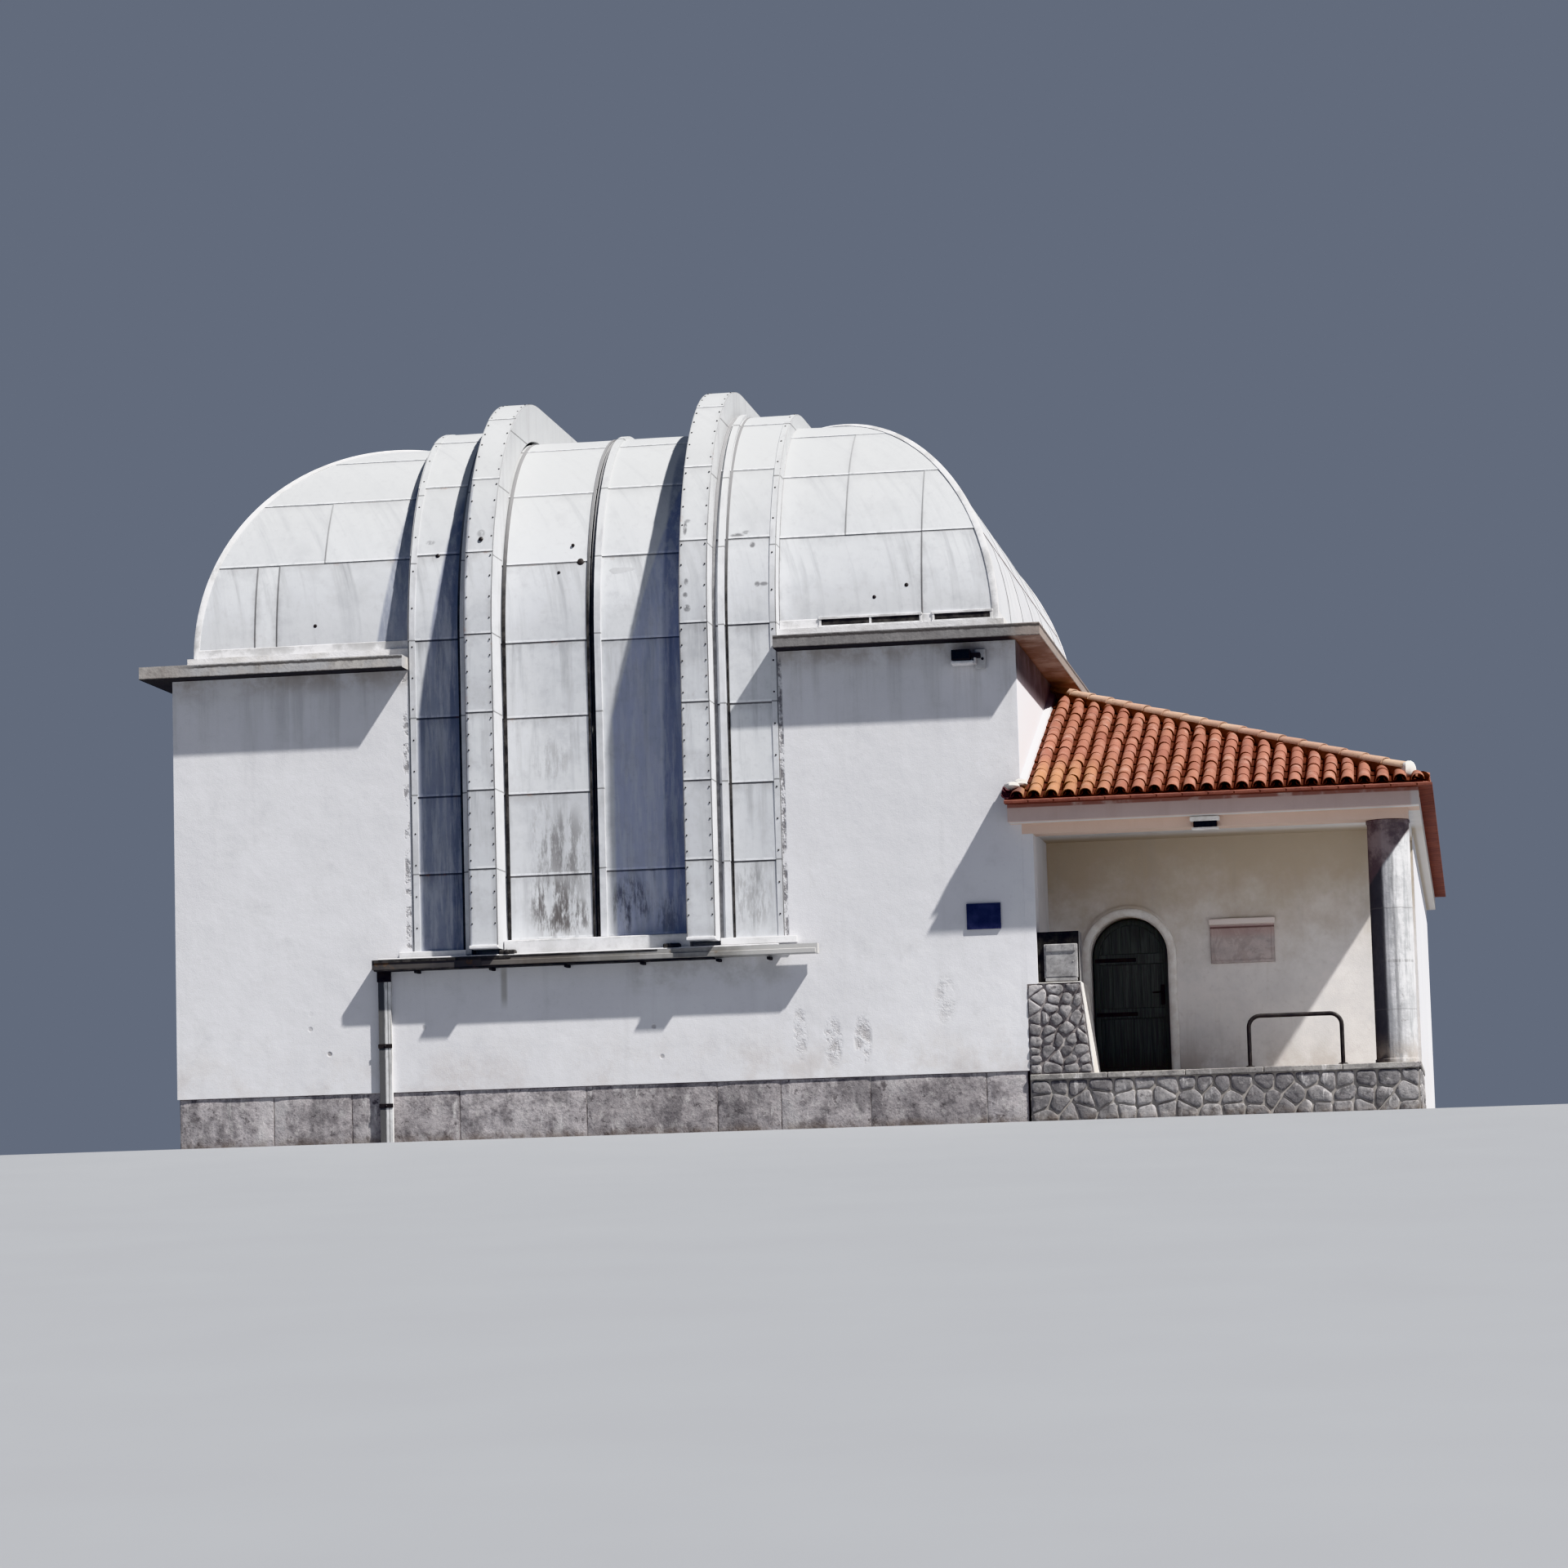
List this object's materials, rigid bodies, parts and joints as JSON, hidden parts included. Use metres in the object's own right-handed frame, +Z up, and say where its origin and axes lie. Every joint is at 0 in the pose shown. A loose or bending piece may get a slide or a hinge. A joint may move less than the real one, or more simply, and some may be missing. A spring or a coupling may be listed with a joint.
{
  "type": "small observatory building with a sliding-shutter slit and a tiled porch wing",
  "caption": "Hollow square observatory block with a fixed metal vault, an arched slit closed by two sideways shutters, and a low tiled wing with an open porch and an arched door",
  "frame": {"origin": "middle of the base of the whole, on the lowest ground level", "axes": "+X to the right along the slit front, +Y from the slit front to the back, +Z up"},
  "size_m": [15.18, 16.2, 9.203],
  "materials": {
    "plinth_stone": "rough coursed rubble, grey to purple-grey, with pale mortar",
    "white_render": "white painted render, dirty near the ground",
    "floor_screed": "plain cement screed",
    "cornice_concrete": "weathered grey-brown concrete",
    "dome_sheet": "off-white painted sheet with lap seams and grey water streaks",
    "slit_sheet": "off-white painted sheet with lap seams and some rust",
    "white_trim": "white painted steel",
    "roof_tile": "terracotta canal tiles with dark channels and pale lichen",
    "porch_render": "off-white painted render with a brown tint high up",
    "door_wood": "very dark green-grey painted boards",
    "plaque_stone": "bare pinkish stone",
    "sign_enamel": "dark navy enamel, bare",
    "dark_metal": "dark painted steel",
    "box_render": "pale grey render"
  },
  "bodies": {
    "building": {"plinth": "plinth_stone", "meter_pier": "plinth_stone", "wall_front": "white_render", "wall_back": "white_render", "wall_left": "white_render", "wall_right": "white_render", "wing_wall_right": "white_render", "wing_wall_back": "white_render", "wing_wall_left": "white_render", "porch_column": "white_render", "porch_jamb": "white_render", "floor": "floor_screed", "wing_floor": "floor_screed", "porch_floor": "floor_screed", "cornice_left": "cornice_concrete", "cornice_right": "cornice_concrete", "dome_left": "dome_sheet", "dome_right": "dome_sheet", "band_left": "slit_sheet", "band_right": "slit_sheet", "rib_left": "slit_sheet", "rib_right": "slit_sheet", "sill_front": "white_trim", "sill_back": "white_trim", "ledge_front": "white_trim", "ledge_back": "white_trim", "ledge_post": "white_trim", "wing_roof_front": "roof_tile", "wing_roof_right": "roof_tile", "wing_roof_back": "roof_tile", "wing_wall_front": "porch_render", "porch_beam_front": "porch_render", "porch_beam_right": "porch_render", "porch_ceiling": "porch_render", "eave_soffit": "porch_render", "door_surround": "porch_render", "wall_plaque": "plaque_stone", "sign_plate": "sign_enamel", "flood_lamp": "dark_metal", "handrail": "dark_metal", "meter_box": "box_render"},
    "door": {"door": "door_wood"},
    "shutter_left": {"shutter_left": "slit_sheet"},
    "shutter_right": {"shutter_right": "slit_sheet"}
  },
  "joints": [
    {"name": "door_hinge", "type": "hinge", "parent": "building", "child": "door", "pos_m": [3.375, -4.403, 1.55], "axis": [0, 0, 1], "range_deg": [0, 95]},
    {"name": "shutter_left_slide", "type": "slide", "parent": "building", "child": "shutter_left", "axis": [-1, 0, 0], "range_m": [0, 0.93]},
    {"name": "shutter_right_slide", "type": "slide", "parent": "building", "child": "shutter_right", "axis": [1, 0, 0], "range_m": [0, 0.93]}
  ]
}
